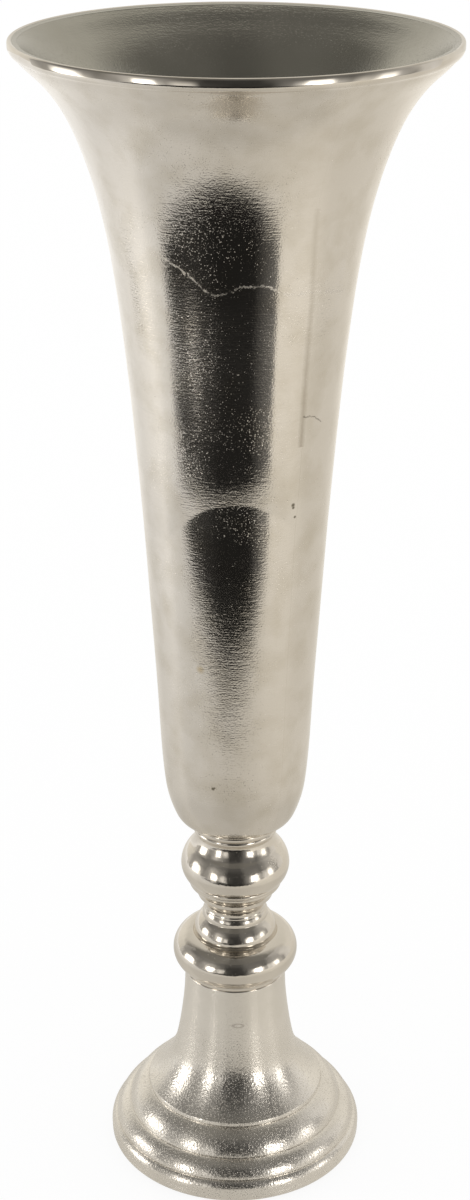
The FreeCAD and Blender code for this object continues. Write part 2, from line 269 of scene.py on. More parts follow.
def bowl_outline():
    """Spline outside, rounded lip, and the inside one wall away from it, square to the outside.

    The wall grows thicker towards the lip, by the smooth step t t (3 - 2 t) of the way up there.
    """
    height, rim, bulb, bulb_height = 508.8, 130.9, 47.2, 39.8
    wall, floor, fillet, lip, lip_width = 4.5, 9.0, 6.0, 8.2, 6.3
    seat, thicker, thick_from = 29.6, 4.0, 436.0
    lip_share, fine_steps = 0.964, 40
    under = [(0.700, 0.012), (0.795, 0.096), (0.869, 0.259), (0.945, 0.548), (0.987, 0.880)]
    flare = [(0.0335, 0.1745), (0.0777, 0.2925), (0.1577, 0.4890), (0.2724, 0.6855), (0.3895, 0.8035),
             (0.5317, 0.8821), (0.6416, 0.9214), (0.8220, 0.9607), (0.9450, 0.9803)]
    points = [(bulb * r, bulb_height * h) for r, h in under]
    points += [(bulb + (rim - bulb) * r, height * h) for r, h in flare]
    points.append((bulb + (rim - bulb) * lip_share, height - lip))
    outside = spline(points, fine_steps)
    inside = moved_in(outside, wall)[outside[:, 1] > floor + fillet][::-1]
    t = np.clip((inside[:, 1] - thick_from) / (height - lip - thick_from), 0, 1)
    inside[:, 0] -= thicker * t * t * (3 - 2 * t)
    inside = spaced(inside, BOWL_STEP_INSIDE)
    outside = spaced(outside, np.interp(outside[:, 1], *np.array(BOWL_STEPS).T))
    edge = rim - lip_width
    lip_path = path([(*outside[-1], 0.5), (rim, height - 4.4, 0.06), (rim, height - 1.4, 0.4),
                     (rim - 1.4, height, 0.12), (edge + 0.6, height - 1.1, 0.15), (edge, height - 1.7, 0),
                     (*inside[0], 0)])
    foot_path = path([(*inside[-1], 1.2), (inside[-1][0] - fillet, floor, 0), (HOLE_RADIUS, floor, 0)])
    start = path(underside(seat) + [(*outside[0], 0)])
    return np.concatenate([start[:-1], outside[:-1], lip_path[:-1], inside[:-1], foot_path])


def neck_ring_outline():
    """A short ring with a slightly rounded side."""
    radius, height, edge, bead = 28.6, 5.2, 0.4, 0.9
    side = [(radius - edge, 0, 0), (radius, edge, bead), (radius, height - edge, 0)]
    return path(underside(radius - edge)[:-1] + side + topside(radius - edge, height))


def upper_knop_outline():
    """Collar, cavetto, two fine beads, ball, waist and top bead."""
    side = [(24.4, 0, 0), (25.2, 0.9, 0), (25.2, 1.3, -0.9), (29.8, 8.9, 0.5), (30.9, 11.7, 0.5),
            (31.3, 14.5, 0), (33.2, 15.2, 0.75), (36.3, 24.8, 1.6), (29.6, 39.6, -0.55), (26.6, 48.2, 0),
            (27.3, 50.2, 0.7), (27.3, 53.4, 0)]
    return path(underside(24.4)[:-1] + side + topside(26.9, 53.8))


def lower_knop_outline():
    """Tucked foot, torus, domed ring, small ring and scotia neck."""
    torus_radius, section, middle = 42.1, 14.2, 15.6
    lowest, highest, torus_points = -56, 86, 61
    centre = torus_radius - section
    angles = np.radians(np.linspace(lowest, highest, torus_points))
    torus = np.stack([centre + section * np.cos(angles), middle + section * np.sin(angles)], 1)
    low = path(underside(33.5)[:-1] + [(33.5, 0, 0), (33.9, 0.4, 0), (33.9, 2.4, 0), (*torus[0], 0)])
    high = path([(*torus[-1], 0), (27.7, 29.3, 1.7), (22.4, 41.9, 0), (22.05, 42.25, 0.5), (20.8, 47.7, 0),
                 (20.8, 48.6, 0), (20.4, 49.4, -0.6)] + topside(23.5, 57.6))
    return np.concatenate([low[:-1], torus[:-1], high])


def foot_outline():
    """Bell: stepped rolls with grooves, spline stem, web, and the hollow inside."""
    height, top, web, wall = 134.6, 34.2, 16.0, 6.0
    base, rim, rim_height, inner, lift = 82.0, 86.4, 7.4, 69.5, 0.5
    every, hollow_steps = 6, 8
    grooves = [(83.0, 16.9, 1.7), (73.6, 28.1, 2.1), (60.4, 43.8, 0)]
    stem_shares = [(0.980, 0.346), (0.810, 0.378), (0.534, 0.446), (0.321, 0.520), (0.198, 0.609),
                   (0.080, 0.758), (0.012, 0.899)]
    stem = [(top + (grooves[-1][0] - top) * r, height * h) for r, h in stem_shares]
    stem = spline(stem + [(top, height - 0.4)])
    hollow = moved_in(stem, wall)[stem[:, 1] < height - web]
    slant = [(inner, lift)] + [(r - wall - 0.8, h - wall + 0.8) for r, h, _ in grooves[1:]]
    hollow = spline(np.concatenate([np.array(slant), hollow[::every]]), hollow_steps)[::-1]
    hollow = hollow[hollow[:, 1] < height - web]
    rolls = []
    for radius, level, bow in grooves:
        rolls += [(radius + 0.5, level - 0.5, 0), (radius - 0.4, level - 0.4, 0), (radius, level + 0.5, bow)]
    outer = path([(base, lift, 1.9), (rim, rim_height, 1.5)] + rolls + [(*stem[0], 0)])
    crown = path([(*stem[-1], 0)] + topside(top - 0.4, height))
    inside = path([(HOLE_RADIUS, height - web, 0), (23.5, height - web, 0), (*hollow[0], 0)])
    return np.concatenate([outer[:-1], stem[:-1], crown, inside[:-1], hollow])


def seal_outline():
    """A rubber washer that the nut squeezes, so its outer edge bulges."""
    low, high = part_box("bowl_seal")
    bulge, clearance = 0.45, 0.1
    inner, outer, height = HOLE_RADIUS + clearance, high.x / MM - bulge, (high.z - low.z) / MM
    return path([(inner, 0, 0), (outer, 0, bulge), (outer, height, 0), (inner, height, 0)])


def felt_discs(centres, radius, low, high, squareness=0.25, levels=16, steps=40):
    """Flat-faced discs with round edges: x = r c(v) sin a, y = -r c(v) cos a, z = h s(v) from each centre.

    c and s are the cosine and sine of v, from -90 to 90 degrees, to a small power that squares the section.
    """
    v = np.linspace(-math.pi / 2, math.pi / 2, levels + 1)[1:-1]
    a = np.arange(steps) * TURN / steps
    ring = np.cos(v) ** squareness
    rise = np.sign(np.sin(v)) * np.abs(np.sin(v)) ** squareness
    grid = np.stack([np.outer(ring, np.sin(a)) * radius, np.outer(ring, -np.cos(a)) * radius,
                     np.repeat(rise[:, None], steps, 1) * (high - low) / 2], -1).reshape(-1, 3)
    points = np.concatenate([grid, [[0, 0, (low - high) / 2], [0, 0, (high - low) / 2]]])
    under, over = len(grid), len(grid) + 1
    row, col = np.meshgrid(np.arange(levels - 2), np.arange(steps), indexing="ij")
    along = (col + 1) % steps
    here, above = row * steps, (row + 1) * steps
    quads = np.stack([here + col, here + along, above + along, above + col], -1)
    last = (levels - 2) * steps
    fans = [[under, (c + 1) % steps, c] for c in range(steps)]
    fans += [[last + c, last + (c + 1) % steps, over] for c in range(steps)]
    faces = quads.reshape(-1, 4).tolist() + fans
    places = np.concatenate([points + np.array([x, y, (low + high) / 2]) for x, y in centres])
    every = [[i + n * len(points) for i in face] for n in range(len(centres)) for face in faces]
    mesh = bpy.data.meshes.new("felt_discs")
    mesh.from_pydata(places.tolist(), [], every)
    mesh.polygons.foreach_set("use_smooth", np.ones(len(every), bool))
    piece = bpy.data.objects.new("felt_discs", mesh)
    bpy.context.scene.collection.objects.link(piece)
    return piece


# Materials

NICKEL_WARM = colour("#dcd6cc")
NICKEL_PALE = colour("#e2ddd5")
NICKEL_GREY = colour("#d2ccc2")


def line_along(tree, attribute, half_width, soft, wander):
    """1 where the distance attribute, moved by the wander, is within the half width, in millimetres."""
    distance = add(tree, "Attribute", attribute_name=attribute).outputs["Fac"]
    moved = add(tree, "Math", (distance, wander), operation="ADD")
    size = add(tree, "Math", (moved,), operation="ABSOLUTE")
    return add(tree, "MapRange", (size, half_width, half_width + soft, 1.0, 0.0))


def cast_nickel():
    """Nickel plate on sand-cast aluminium, rubbed down and buffed by hand, with its lip polished.

    The buff leaves a fine grain and short strokes round the axis, so reflections are clear but their edges
    are hairy. Pits that the buff can't reach are matt, so they show pale in a dark reflection, and so do two
    cracks. The short one, a seam from the mould, a few nicks, a stain and smudges are darker. The inside is
    only scraped, so it is dull and greyer.
    """
    cloud_size, patch_size, smudge_size = 55 * MM, 38 * MM, 19 * MM
    grain_size, pit_size, wander_size, tear_size = 1.1 * MM, 0.8 * MM, 3.2 * MM, 2.1 * MM
    stroke_length, stroke_width = 8 * MM, 0.9 * MM
    lip_from, lip_by = RIM_HEIGHT - 6.5 * MM, RIM_HEIGHT - 4.5 * MM
    stain_middle, stain_radius = 1.0 * MM, 3.5 * MM

    material, tree = blank("nickel_on_sand_casting")
    place = add(tree, "TexCoord").outputs["Object"]
    height = add(tree, "SeparateXYZ", (place,)).outputs["Z"]
    inside = add(tree, "Attribute", attribute_name="inside").outputs["Fac"]
    lip = add(tree, "MapRange", (height, lip_from, lip_by))
    cloud = add(tree, "TexNoise", {"Vector": place, "Scale": 1 / cloud_size, "Detail": 3.0})
    patches = add(tree, "TexNoise", {"Vector": place, "Scale": 1 / patch_size, "Detail": 2.0})
    smudge = add(tree, "TexNoise", {"Vector": place, "Scale": 1 / smudge_size, "Detail": 3.0})
    grain = add(tree, "TexNoise", {"Vector": place, "Scale": 1 / grain_size, "Detail": 2.0})
    round_axis = add(tree, "Mapping", {
        "Vector": place, "Scale": (1 / stroke_length, 1 / stroke_length, 1 / stroke_width)})
    strokes = add(tree, "TexNoise", {"Vector": round_axis, "Scale": 1.0, "Detail": 1.0})

    # Pits, more of them in some patches
    pit_noise = add(tree, "TexNoise", {"Vector": place, "Scale": 1 / pit_size, "Detail": 0.0})
    crowd = add(tree, "MapRange", (patches, 0.38, 0.62, 0.79, 0.69))
    over = add(tree, "Math", (pit_noise, crowd), operation="SUBTRACT")
    pits = add(tree, "MapRange", (over, 0.0, 0.12))

    # The cracks and the seam wander a little, and the long crack is torn off in places
    wander = add(tree, "TexNoise", {"Vector": place, "Scale": 1 / wander_size, "Detail": 6.0,
                                    "Roughness": 0.7})
    astray = add(tree, "MapRange", (wander, 0.3, 0.7, -1.5, 1.5))
    less_astray = add(tree, "Math", (astray, 0.6), operation="MULTIPLY")
    least_astray = add(tree, "Math", (astray, 0.3), operation="MULTIPLY")
    tear = add(tree, "TexNoise", {"Vector": place, "Scale": 1 / tear_size, "Detail": 3.0})
    torn = add(tree, "MapRange", (tear, 0.38, 0.55, 0.15, 1.0))
    crack = add(tree, "Math", (line_along(tree, "crack", 0.1, 1.0, astray), torn), operation="MULTIPLY")
    short_crack = line_along(tree, "short_crack", 0.0, 0.45, less_astray)
    seam_end = add(tree, "MapRange", (height, SEAM[0][1] * MM, SEAM[-1][1] * MM, 1.0, 0.25))
    seam = add(tree, "Math", (line_along(tree, "seam", 0.1, 2.9, least_astray), seam_end),
               operation="MULTIPLY")
    spots = 0.0
    for centre, radius in SPOTS:
        far = add(tree, "VectorMath", (place, centre), operation="DISTANCE")
        spot = add(tree, "MapRange", (far, radius * 0.4, radius, 1.0, 0.0))
        spots = add(tree, "Math", (spots, spot), operation="MAXIMUM")
    far = add(tree, "VectorMath", (place, STAIN), operation="DISTANCE")
    stain = add(tree, "MapRange", (far, stain_middle, stain_radius, 0.6, 0.0))

    blemish = add(tree, "Math", (crack, short_crack), operation="MAXIMUM")
    dull = add(tree, "Math", (blemish, pits), operation="MAXIMUM")
    buffed = add(tree, "MapRange", (cloud, 0.35, 0.65, 0.09, 0.125))
    worn = add(tree, "Mix", {0: dull, 2: buffed, 3: 0.46})
    lipped = add(tree, "Mix", {0: lip, 2: worn, 3: 0.045})
    rough = add(tree, "Mix", {0: inside, 2: lipped, 3: 0.2})

    # Each mark in turn over the plate's own colour: how much of it shows, and its colour
    shade = add(tree, "Mix", {0: cloud, 6: NICKEL_GREY, 7: NICKEL_PALE}, data_type="RGBA")
    marks = [(add(tree, "MapRange", (smudge, 0.42, 0.75, 0.0, 0.32)), "#b0a68f"),
             (add(tree, "Math", (seam, 0.5), operation="MULTIPLY"), "#8f8676"),
             (add(tree, "Math", (short_crack, 0.8), operation="MULTIPLY"), "#5b5347"),
             (add(tree, "Math", (spots, 0.85), operation="MULTIPLY"), "#57503f"), (stain, "#b9a67c")]
    for share, mark in marks:
        shade = add(tree, "Mix", {0: share, 6: shade, 7: colour(mark)}, data_type="RGBA")
    scraped = add(tree, "Mix", {0: cloud, 6: colour("#9c9a90"), 7: colour("#b9b7ae")}, data_type="RGBA")
    base = add(tree, "Mix", {0: inside, 6: shade, 7: scraped}, data_type="RGBA")

    along = add(tree, "Math", (strokes, 0.7), operation="MULTIPLY")
    raised = add(tree, "Math", (grain, along), operation="ADD")
    pit_depth = add(tree, "Math", (pits, 0.6), operation="MULTIPLY")
    sunk = add(tree, "Math", (raised, pit_depth), operation="SUBTRACT")
    plain = add(tree, "Math", (1.0, lip), operation="SUBTRACT")
    patchy = add(tree, "MapRange", (patches, 0.4, 0.62, 0.34, 0.55))
    outer_depth = add(tree, "Math", (plain, patchy), operation="MULTIPLY")
    depth = add(tree, "Mix", {0: inside, 2: outer_depth, 3: 1.0})
    bump = add(tree, "Bump", {"Height": sunk, "Strength": depth, "Distance": 0.13 * MM})
    shader = add(tree, "BsdfPrincipled", {"Base Color": base, "Metallic": 1.0, "Roughness": rough,
                                          "Normal": bump})
    add(tree, "OutputMaterial", (shader,))
    return material


# The scuff's middle on the ball knop
SCUFF = (25.3 * MM, -20.8 * MM, 227.5 * MM)


def mirror_nickel():
    """Nickel plate buffed bright on a lathe.

    It is faintly warm, with a slight waver, a few tiny pits and one scuff.
    """
    waver_size, grain_size = 6 * MM, 1.1 * MM
    scuff_middle, scuff_radius = 2 * MM, 8 * MM
    material, tree = blank("nickel_buffed_bright")
    place = add(tree, "TexCoord").outputs["Object"]
    waver = add(tree, "TexNoise", {"Vector": place, "Scale": 1 / waver_size, "Detail": 1.0})
    grain = add(tree, "TexNoise", {"Vector": place, "Scale": 1 / grain_size, "Detail": 2.0})
    far = add(tree, "VectorMath", (place, SCUFF), operation="DISTANCE")
    scuffed = add(tree, "MapRange", (far, scuff_middle, scuff_radius, 0.16, -0.03))
    crowded = add(tree, "Math", (grain, scuffed), operation="ADD")
    pits = add(tree, "MapRange", (crowded, 0.68, 0.76))
    rough = add(tree, "Mix", {0: pits, 2: 0.085, 3: 0.4})
    slow = add(tree, "Math", (waver, 3.0), operation="MULTIPLY")
    fine = add(tree, "Math", (grain, 0.6), operation="MULTIPLY")
    raised = add(tree, "Math", (slow, fine), operation="ADD")
    pit_depth = add(tree, "Math", (pits, 2.0), operation="MULTIPLY")
    sunk = add(tree, "Math", (raised, pit_depth), operation="SUBTRACT")
    bump = add(tree, "Bump", {"Height": sunk, "Strength": 1.0, "Distance": 0.05 * MM})
    shader = add(tree, "BsdfPrincipled", {"Base Color": NICKEL_WARM, "Metallic": 1.0, "Roughness": rough,
                                          "Normal": bump})
    add(tree, "OutputMaterial", (shader,))
    return material


# The oval mark's middle on the stem, and its half width, depth and half height
STEM_MARK, STEM_MARK_SIZE = (2.0 * MM, -36.6 * MM, 108.5 * MM), (4.2 * MM, 12 * MM, 1.7 * MM)


def half_bright_nickel():
    """Nickel plate on a casting that was only half polished: bright, with the sand's grain sparkling in it.

    The lathe's fine lines run round the axis and scatter light up and down across them, so the lamps stretch
    into upright streaks. Small matt pits are pale specks in the dark and dark ones in the light. The stem is
    smoother. An oval mark shows on it where something was filed away.
    """
    grain_size, pit_size, tone_size = 1.5 * MM, 0.9 * MM, 30 * MM
    smoother_from, smoother_by = 75 * MM, 100 * MM
    material, tree = blank("nickel_half_polished")
    place = add(tree, "TexCoord").outputs["Object"]
    height = add(tree, "SeparateXYZ", (place,)).outputs["Z"]
    coarse = add(tree, "MapRange", (height, smoother_from, smoother_by, 1.0, 0.3))
    grain = add(tree, "TexNoise", {"Vector": place, "Scale": 1 / grain_size, "Detail": 1.0})
    pit_noise = add(tree, "TexNoise", {"Vector": place, "Scale": 1 / pit_size, "Detail": 0.0})
    pits = add(tree, "Math", (add(tree, "MapRange", (pit_noise, 0.6, 0.7)), coarse), operation="MULTIPLY")
    rough = add(tree, "Mix", {0: pits, 2: 0.17, 3: 0.45})
    round_axis = add(tree, "Tangent", direction_type="RADIAL", axis="Z")

    offset = add(tree, "VectorMath", (place, STEM_MARK), operation="SUBTRACT")
    shares = add(tree, "VectorMath", (offset, STEM_MARK_SIZE), operation="DIVIDE")
    far = add(tree, "VectorMath", (shares,), operation="LENGTH")
    inner_edge = add(tree, "MapRange", (far, 0.45, 0.75))
    outer_edge = add(tree, "MapRange", (far, 0.85, 1.2, 1.0, 0.0))
    ring = add(tree, "Math", (inner_edge, outer_edge), operation="MULTIPLY")
    tone = add(tree, "TexNoise", {"Vector": place, "Scale": 1 / tone_size, "Detail": 3.0})
    base = add(tree, "Mix", {0: tone, 6: colour("#ded9d0"), 7: colour("#f5f1ea")}, data_type="RGBA")
    faint_ring = add(tree, "Math", (ring, 0.35), operation="MULTIPLY")
    marked = add(tree, "Mix", {0: faint_ring, 6: base, 7: colour("#7f786f")}, data_type="RGBA")

    pit_depth = add(tree, "Math", (pits, 0.3), operation="MULTIPLY")
    sunk = add(tree, "Math", (grain, pit_depth), operation="SUBTRACT")
    bump = add(tree, "Bump", {"Height": sunk, "Strength": coarse, "Distance": 0.15 * MM})
    shader = add(tree, "BsdfPrincipled", {
        "Base Color": marked, "Metallic": 1.0, "Roughness": rough, "Normal": bump, "Anisotropic": 0.92,
        "Anisotropic Rotation": 0.25, "Tangent": round_axis})
    add(tree, "OutputMaterial", (shader,))
    return material


def zinc_steel():
    """Zinc-plated mild steel, as on bought fasteners: cool grey with a faint mottle."""
    mottle_size = 2.5 * MM
    material, tree = blank("zinc_plated_steel")
    place = add(tree, "TexCoord").outputs["Object"]
    mottle = add(tree, "TexNoise", {"Vector": place, "Scale": 1 / mottle_size, "Detail": 4.0})
    base = add(tree, "Mix", {0: mottle, 6: colour("#b9bcbe"), 7: colour("#d5d6d3")}, data_type="RGBA")
    rough = add(tree, "MapRange", (mottle, 0.0, 1.0, 0.25, 0.5))
    shader = add(tree, "BsdfPrincipled", {"Base Color": base, "Metallic": 1.0, "Roughness": rough})
    add(tree, "OutputMaterial", (shader,))
    return material


def seal_rubber():
    """Moulded black nitrile rubber: matt, with a faint bloom."""
    bloom_size = 3 * MM
    material, tree = blank("nitrile_rubber")
    place = add(tree, "TexCoord").outputs["Object"]
    bloom = add(tree, "TexNoise", {"Vector": place, "Scale": 1 / bloom_size, "Detail": 3.0})
    base = add(tree, "Mix", {0: bloom, 6: colour("#1b1b1c"), 7: colour("#2c2c2b")}, data_type="RGBA")
    shader = add(tree, "BsdfPrincipled", {"Base Color": base, "Roughness": 0.7})
    add(tree, "OutputMaterial", (shader,))
    return material


def wool_felt():
    """Pressed wool felt, dark: matt, fibrous and slightly fuzzy."""
    fibre_size = 0.5 * MM
    material, tree = blank("pressed_wool_felt")
    place = add(tree, "TexCoord").outputs["Object"]
    fibre = add(tree, "TexNoise", {"Vector": place, "Scale": 1 / fibre_size, "Detail": 5.0})
    base = add(tree, "Mix", {0: fibre, 6: colour("#2e2b28"), 7: colour("#55504a")}, data_type="RGBA")
    bump = add(tree, "Bump", {"Height": fibre, "Strength": 0.8, "Distance": 0.2 * MM})
    shader = add(tree, "BsdfPrincipled", {"Base Color": base, "Roughness": 0.95, "Sheen Weight": 0.3,
                                          "Normal": bump})
    add(tree, "OutputMaterial", (shader,))
    return material


def dress(piece, material, slot, *nodes):
    """Gives a new piece its material and hides the CAD nodes that it stands for. The slot is not used."""
    piece.data.materials.append(material)
    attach(piece, "root")
    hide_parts(*nodes)


# The bowl's blemishes, by azimuth in degrees from the front, positive to the right, and by height over the
# ground in millimetres
CRACK = [(-38.8, 651.1), (-29.1, 645.9), (-20.2, 638.8), (-13.7, 631.0), (-9.3, 627.1), (1.7, 632.9),
         (12.6, 634.2), (22.2, 627.0), (38.0, 625.9), (60.9, 620.7)]
SHORT_CRACK = [(37.2, 548.3), (45.0, 547.0), (53.8, 540.4)]
SEAM = [(37.6, 527.0), (36.7, 621.3), (32.5, 679.5)]
# The distance in millimetres that stands for anywhere beyond a line's ends
FAR_AWAY = 30.0

# How far inside the bowl's outer face a point must be to count as the inner face's, and the floor's height
WELL_INSIDE, OVER_FLOOR = 2.0, 8.0

# The wall isn't quite true: filed in by a millimetre at the front, with a sharp lower edge and a soft swell
# over it; heights over the ground and depths in millimetres
FILED_FROM, FILED_EDGE = (300.0, 0.0), (493.0, -1.05)
FILED_SWELL = [(494.5, -1.05), (508.0, 0.0), (520.0, 0.55), (545.0, 0.85), (610.0, 0.5), (700.0, 0.0)]
FILED_SHARE_BEHIND = 0.05
FILED_DROOP, FILED_MOST_DROOP = 0.014, 30.0


def points_of(mesh):
    """A mesh's points as rows of x, y and z, in metres."""
    places = np.empty(len(mesh.vertices) * 3, np.float32)
    mesh.vertices.foreach_get("co", places)
    return places.reshape(-1, 3)


def filed(piece):
    """Moves the outer wall in or out by height, in full at the front and by a share round the rest.

    The weight is the share plus the rest times the eighth power of the cosine of half the azimuth. The mark
    droops to both sides by the droop times the square of the azimuth in degrees.
    """
    mesh = piece.data
    places = points_of(mesh)
    x, y, z = places.T / MM
    radius = np.hypot(x, y)
    azimuth = np.arctan2(x, -y)
    front = np.cos(azimuth / 2) ** 8
    droop = np.minimum(FILED_DROOP * np.degrees(azimuth) ** 2, FILED_MOST_DROOP)
    weight = FILED_SHARE_BEHIND + (1 - FILED_SHARE_BEHIND) * front
    outer = radius > np.interp(z, *bowl_points()) - WELL_INSIDE
    swell = np.concatenate([[FILED_FROM, FILED_EDGE], spline(FILED_SWELL)])
    offset = np.interp(z + droop, *swell.T) * weight * outer
    places[:, :2] *= (1 + offset / np.maximum(radius, 1.0))[:, None]
    mesh.vertices.foreach_set("co", places.ravel())
    mesh.update()
    return piece


def bowl_points():
    """The bowl's outside radius by height over the ground, in millimetres."""
    outline = bowl_outline()
    outer = outline[:int(np.argmax(outline[:, 1])) + 1]
    return outer[:, 1] + BOWL_BASE / MM, outer[:, 0]


def on_bowl(azimuth, height):
    """The point of the bowl's outside at an azimuth in degrees and a height in millimetres."""
    radius = np.interp(height, *bowl_points()) * MM
    angle = math.radians(azimuth)
    return (radius * math.sin(angle), -radius * math.cos(angle), height * MM)


# The stain's middle, and the middles and radii of the nicks
STAIN = on_bowl(-24.9, 381.3)
SPOTS = [(on_bowl(35.2, 491.7), 1.7 * MM), (on_bowl(35.5, 489.9), 1.3 * MM),
         (on_bowl(37.2, 483.3), 1.2 * MM), (on_bowl(-17.5, 296.1), 1.5 * MM),
         (on_bowl(-16.3, 296.8), 0.9 * MM)]


def ended(distance, place, line):
    """The distance from a line, but far away at places before its first value or after its last."""
    within = (place > line[0]) & (place < line[-1])
    return np.where(within, distance, np.copysign(FAR_AWAY, distance))


def blemished(piece):
    """Adds point attributes: distance in millimetres from each crack and the seam, and 1 on the inside.

    A crack's distance is the height over its broken line, and the seam's is the arc length from its line.
    Beyond a line's ends the distance is large, so the mark stops there.
    """
    mesh = piece.data
    x, y, z = points_of(mesh).T / MM
    azimuth, radius = np.degrees(np.arctan2(x, -y)), np.hypot(x, y)
    values = {}
    for name, line in (("crack", CRACK), ("short_crack", SHORT_CRACK)):
        angles, heights = np.array(line).T
        values[name] = ended(z - np.interp(azimuth, angles, heights), azimuth, angles)
    angles, heights = np.array(SEAM).T
    values["seam"] = ended(np.radians(azimuth - np.interp(z, heights, angles)) * radius, z, heights)
    wall_z, wall_r = bowl_points()
    inner = radius < np.interp(z, wall_z, wall_r) - WELL_INSIDE
    values["inside"] = (inner & (z > BOWL_BASE / MM + OVER_FLOOR)).astype(float)
    for name, value in values.items():
        layer = mesh.attributes.new(name, "FLOAT", "POINT")
        layer.data.foreach_set("value", value.astype(np.float32))
    return piece


# How much a casting's radius may fall short, as a share of it
BOWL_UNEVEN, FOOT_UNEVEN = 0.0006, 0.0004

cast = cast_nickel()
bright = mirror_nickel()
half_bright = half_bright_nickel()
steel = zinc_steel()

bowl = turned("bowl_casting", placed(bowl_outline(), BOWL_BASE, BOWL_STEP_INSIDE * MM), BOWL_UNEVEN)
dress(blemished(filed(bowl)), cast, "satin_nickel", "trumpet_bowl")
dress(turned("neck_bead", placed(neck_ring_outline(), RING_BASE)), bright, "polished_nickel", "neck_ring")
dress(turned("ball_knop", placed(upper_knop_outline(), UPPER_BASE)), bright, "polished_nickel", "upper_knop")
dress(turned("torus_knop", placed(lower_knop_outline(), LOWER_BASE)), bright, "polished_nickel",
      "lower_knop")
dress(turned("bell_foot", placed(foot_outline(), 0.0), FOOT_UNEVEN), half_bright, "brushed_nickel", "foot")

# Four pads at the odd eighths of a turn, inside the corners of the node's box
PAD_LOW, PAD_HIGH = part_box("foot_pads")
PAD_RADIUS = 4.5 * MM
PAD_OFFSET = PAD_HIGH.x - PAD_RADIUS
pad_centres = [(x * PAD_OFFSET, y * PAD_OFFSET) for x in (-1, 1) for y in (-1, 1)]
dress(felt_discs(pad_centres, PAD_RADIUS, PAD_LOW.z, PAD_HIGH.z), wool_felt(), "felt", "foot_pads")
dress(turned("rubber_seal", placed(seal_outline(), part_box("bowl_seal")[0].z)), seal_rubber(), "seal_rubber",
      "bowl_seal")

for name in ("tie_rod", "bowl_washer", "bowl_nut", "clamp_plate", "lock_washer", "foot_nut"):
    frame["nodes"][name].data.materials.clear()
    frame["nodes"][name].data.materials.append(steel)


# Studio: a white table with a notch in front, beyond whose edge a round wall carries the lamps

# The notch's far edge from left to right as (x, y), and the x of its right side's near end, in metres
NOTCH_EDGE = [(-1.1, -0.33), (-0.5, -0.565), (0.0, -0.635), (0.58, -0.71)]
NOTCH_RIGHT_FAR = 3.7
TABLE_REACH = 4.0
WALL_DISTANCE, WALL_LOW, WALL_HIGH, WALL_COLUMNS = 1.5, -1.2, 1.7, 97
# Heights where one band of the wall passes into the next: under the lamps and under their glow by a soft
# step, then into the lamps' brightest part, over their tops and over the room
LAMP_LOW, GLOW_LOW, STEP_SOFT = 0.0, -0.15, 0.015
BRIGHTEST, LAMP_TOPS, ROOM_TOP = (0.08, 0.25), (0.38, 0.68), (0.85, 1.3)
# Brightness by azimuth in degrees, positive to the right: the lamps on the wall, what their brightest part
# adds, the room over them, the wall's top, the glow under the lamps, and the dark under it. The levels were
# first judged from the photograph's reflections, then rounded, thinned and changed.
LAMP_LIGHT = [(-118, 0.75), (-108, 0.42), (-102, 0.5), (-98, 2.3), (-82, 2.3), (-77, 0.65), (-70, 0.33),
              (-58, 0.4), (-51, 0.8), (-49, 2.3), (-40, 2.3), (-37, 0.7), (-33, 0.45), (-28, 0.95),
              (-21, 0.8), (-17, 0.08), (0, 0.04), (16, 0.06), (26, 0.3), (31, 0.9), (34, 2.3), (45, 2.3),
              (49, 0.7), (56, 0.4), (62, 0.9), (68, 0.8), (73, 1.6), (81, 1.6), (86, 0.6), (96, 0.36),
              (103, 0.76), (118, 0.86)]
LAMP_EXTRA = [(-118, 0.0), (-98, 0.0), (-95, 2.0), (-85, 2.0), (-81, 0.0), (-50, 0.0), (-48, 2.6),
              (-41, 2.6), (-38, 0.0), (33, 0.0), (35, 2.6), (44, 2.6), (47, 0.0), (71, 0.0), (74, 0.8),
              (80, 0.8), (84, 0.0), (118, 0.0)]
OVER_LAMPS = [(-118, 0.5), (-110, 0.36), (-90, 0.46), (-68, 0.24), (-50, 0.65), (-36, 0.35), (-23, 0.16),
              (-14, 0.05), (10, 0.05), (22, 0.17), (46, 0.24), (55, 0.16), (77, 0.46), (90, 0.45),
              (100, 0.78), (118, 0.73)]
WALL_TOP = [(-118, 0.42), (-101, 0.18), (-50, 0.26), (-14, 0.09), (10, 0.09), (22, 0.18), (62, 0.18),
            (88, 0.5), (118, 0.66)]
GLOW_LIGHT = [(-118, 0.1), (-52, 0.25), (-47, 0.7), (-40, 0.7), (-36, 0.2), (-14, 0.04), (14, 0.04),
              (36, 0.4), (50, 0.5), (118, 0.5)]
UNDER_LIGHT = [(-40, 0.03), (-20, 0.015), (18, 0.015), (40, 0.16), (50, 0.35), (118, 0.5)]
# The same for the white back beside the wall, and for the ceiling, and the rise between them
BACK_LIGHT = [(-180, 0.8), (-150, 0.95), (-135, 0.88), (-118, 0.72), (118, 0.85), (180, 0.8)]
CEILING = [(-180, 0.8), (-141, 0.7), (-118, 0.2), (-30, 0.22), (-14, 0.15), (10, 0.15), (25, 0.19),
           (88, 0.22), (112, 0.5), (130, 0.75), (180, 0.8)]
CEILING_RISE = (0.35, 0.55)
# The table in the metal, with painted light and shade: its brightness by azimuth
TABLE_LIGHT = [(-180, 0.84), (-130, 0.77), (-92, 0.85), (-81, 0.77), (-45, 0.75), (-15, 0.7), (13, 0.71),
               (43, 0.8), (77, 0.84), (98, 0.8), (140, 0.8), (180, 0.84)]
# How much brighter the table is a metre further out than the gain's start, as painted light, and darker close
# to the vase, as painted shade
TABLE_GAIN = [(-180, 0.35), (-128, 0.3), (-95, 0.55), (-80, 0.35), (-60, 0.0), (20, 0.0), (45, 0.4),
              (65, 0.35), (85, 0.05), (130, 0.05), (180, 0.35)]
TABLE_GAIN_START, TABLE_SHADE_NEAR, TABLE_SHADE_NEAR_SHARE = 0.5, (0.34, 0.46), 0.86
